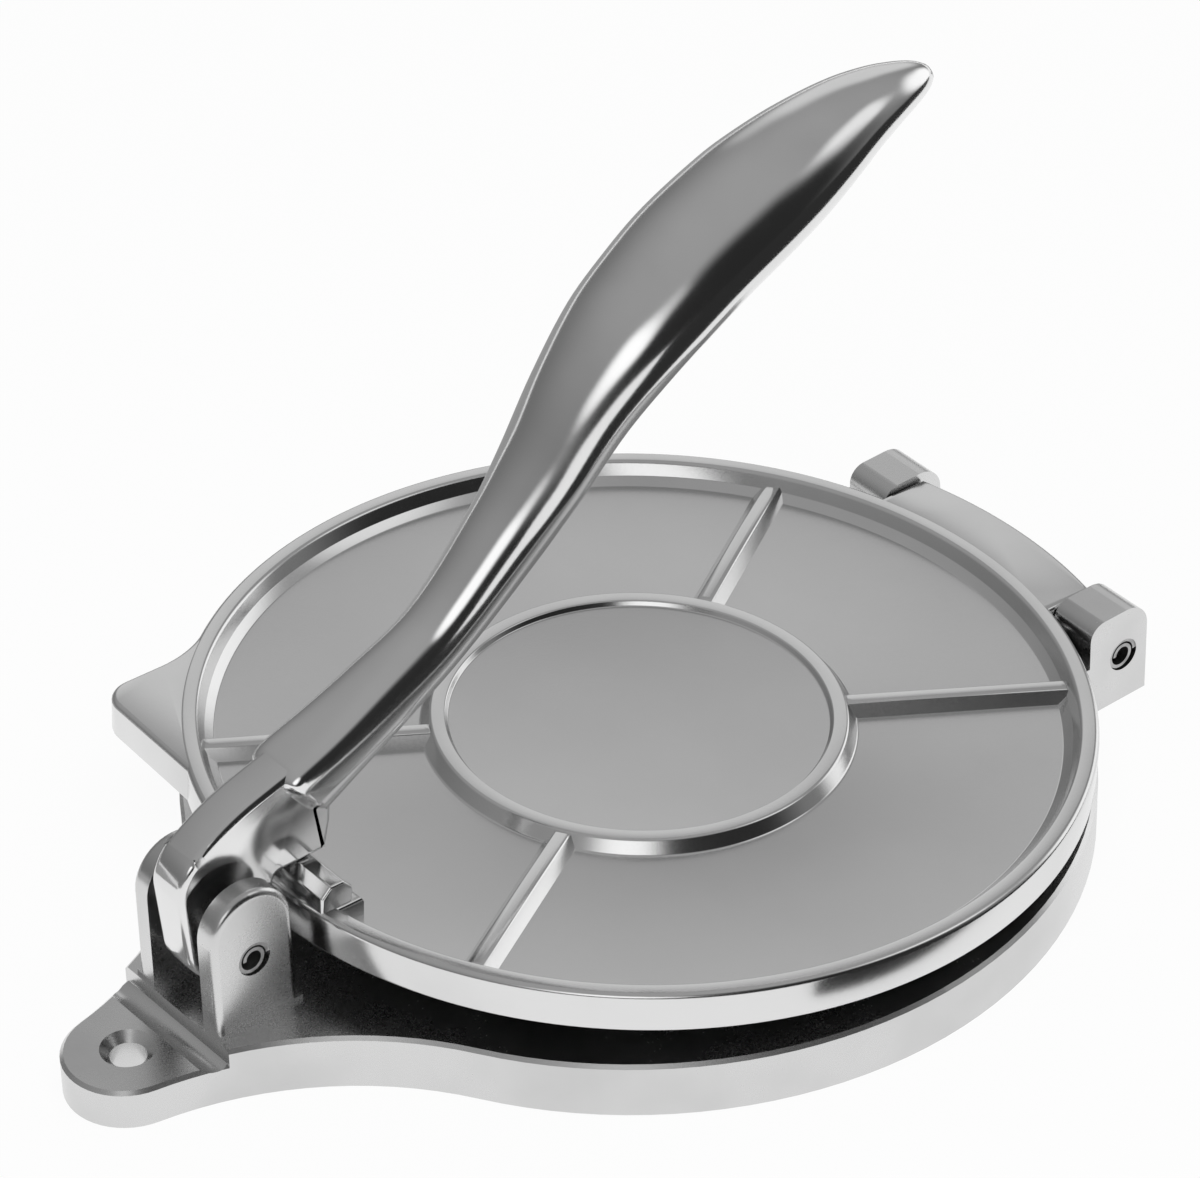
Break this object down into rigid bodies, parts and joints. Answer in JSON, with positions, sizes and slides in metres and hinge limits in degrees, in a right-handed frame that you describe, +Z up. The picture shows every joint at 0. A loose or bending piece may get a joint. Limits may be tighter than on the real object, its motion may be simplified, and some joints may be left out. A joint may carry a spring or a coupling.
{
  "type": "tortilla press",
  "caption": "Cast tortilla press: round hinged pressing plates, front lobe with a bench screw hole, finger tab, and a curved lever whose heel presses the upper plate down.",
  "frame": {"origin": "centre of the base's round part, on the surface that the press stands on", "axes": "+X along the pins, away from the side with the finger tab; +Y from the lever towards the plate hinge; +Z up"},
  "size_m": [0.2008, 0.2669, 0.1628],
  "materials": {
    "base_casting": "satin cast aluminium",
    "plate_casting": "satin cast aluminium with a polished rim",
    "lever_casting": "polished cast aluminium",
    "pin_steel": "plain spring steel"
  },
  "bodies": {
    "base": {"base": "base_casting", "lever_pin": "pin_steel", "left_hinge_pin": "pin_steel", "right_hinge_pin": "pin_steel"},
    "top_plate": {"top_plate": "plate_casting"},
    "lever": {"lever": "lever_casting"}
  },
  "joints": [
    {"name": "lever_swing", "type": "hinge", "parent": "base", "child": "lever", "pos_m": [0, -0.1142, 0.0295], "axis": [1, 0, 0], "range_deg": [-27, 90]},
    {"name": "plate_swing", "type": "hinge", "parent": "base", "child": "top_plate", "pos_m": [0, 0.1075, 0.0124], "axis": [-1, 0, 0], "range_deg": [-2.85, 175]}
  ],
  "couplings": [
    {"joint": "plate_swing", "follows": "lever_swing", "ratio": 0.10185}
  ]
}
